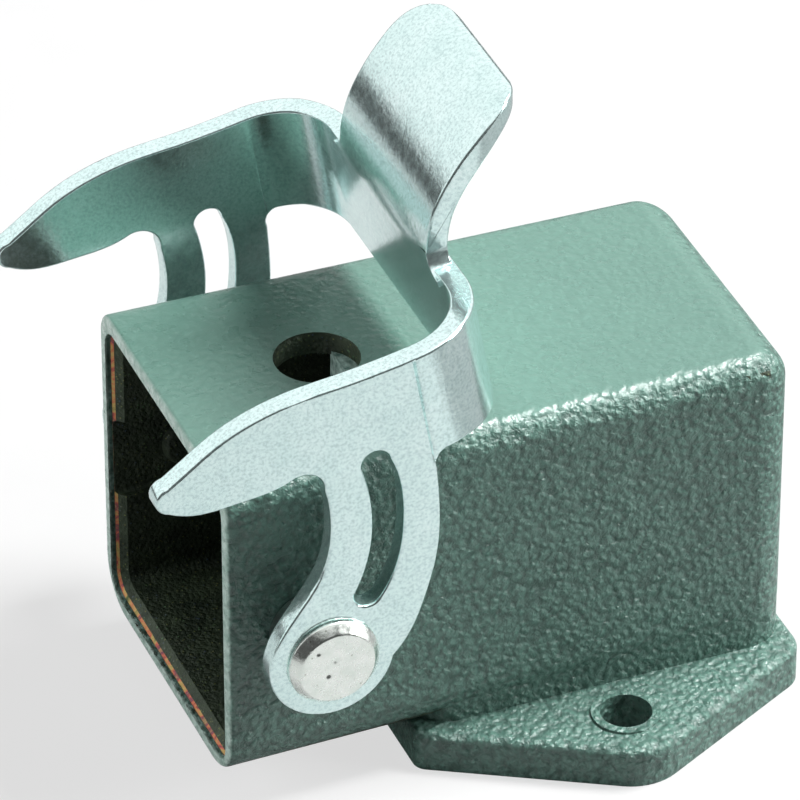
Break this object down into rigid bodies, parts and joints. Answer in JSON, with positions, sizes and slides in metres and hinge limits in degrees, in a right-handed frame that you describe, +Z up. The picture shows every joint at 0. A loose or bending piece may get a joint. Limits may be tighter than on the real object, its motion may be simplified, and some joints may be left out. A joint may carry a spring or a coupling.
{
  "type": "rectangular connector housing",
  "caption": "Angled bulkhead connector housing, square die-cast body on a two-hole flange, open mouth at the front and a U-shaped steel locking lever with hooks and a thumb tab.",
  "frame": {"origin": "midway between the two fixing holes, on the underside of the flange", "axes": "+X from the mating mouth to the rear, +Y to the far side along the line of the fixing holes, +Z up"},
  "size_m": [0.0562, 0.0448, 0.0569],
  "materials": {
    "housing_paint": "grey-green wrinkle paint over a die casting",
    "lever_steel": "bright zinc plate",
    "rivet_steel": "bright zinc plate",
    "collar_steel": "bright zinc plate",
    "gasket_rubber": "moulded nitrile"
  },
  "bodies": {
    "base": {"housing": "housing_paint", "flange_gasket": "gasket_rubber", "spacer_collar_near": "collar_steel", "spacer_collar_far": "collar_steel", "pivot_rivet_near": "rivet_steel", "pivot_rivet_far": "rivet_steel"},
    "lever": {"locking_lever": "lever_steel"}
  },
  "joints": [
    {"name": "lever_pivot", "type": "hinge", "parent": "base", "child": "lever", "pos_m": [-0.02542, 0, 0.017], "axis": [0, -1, 0], "range_deg": [-11.5, 83]}
  ]
}
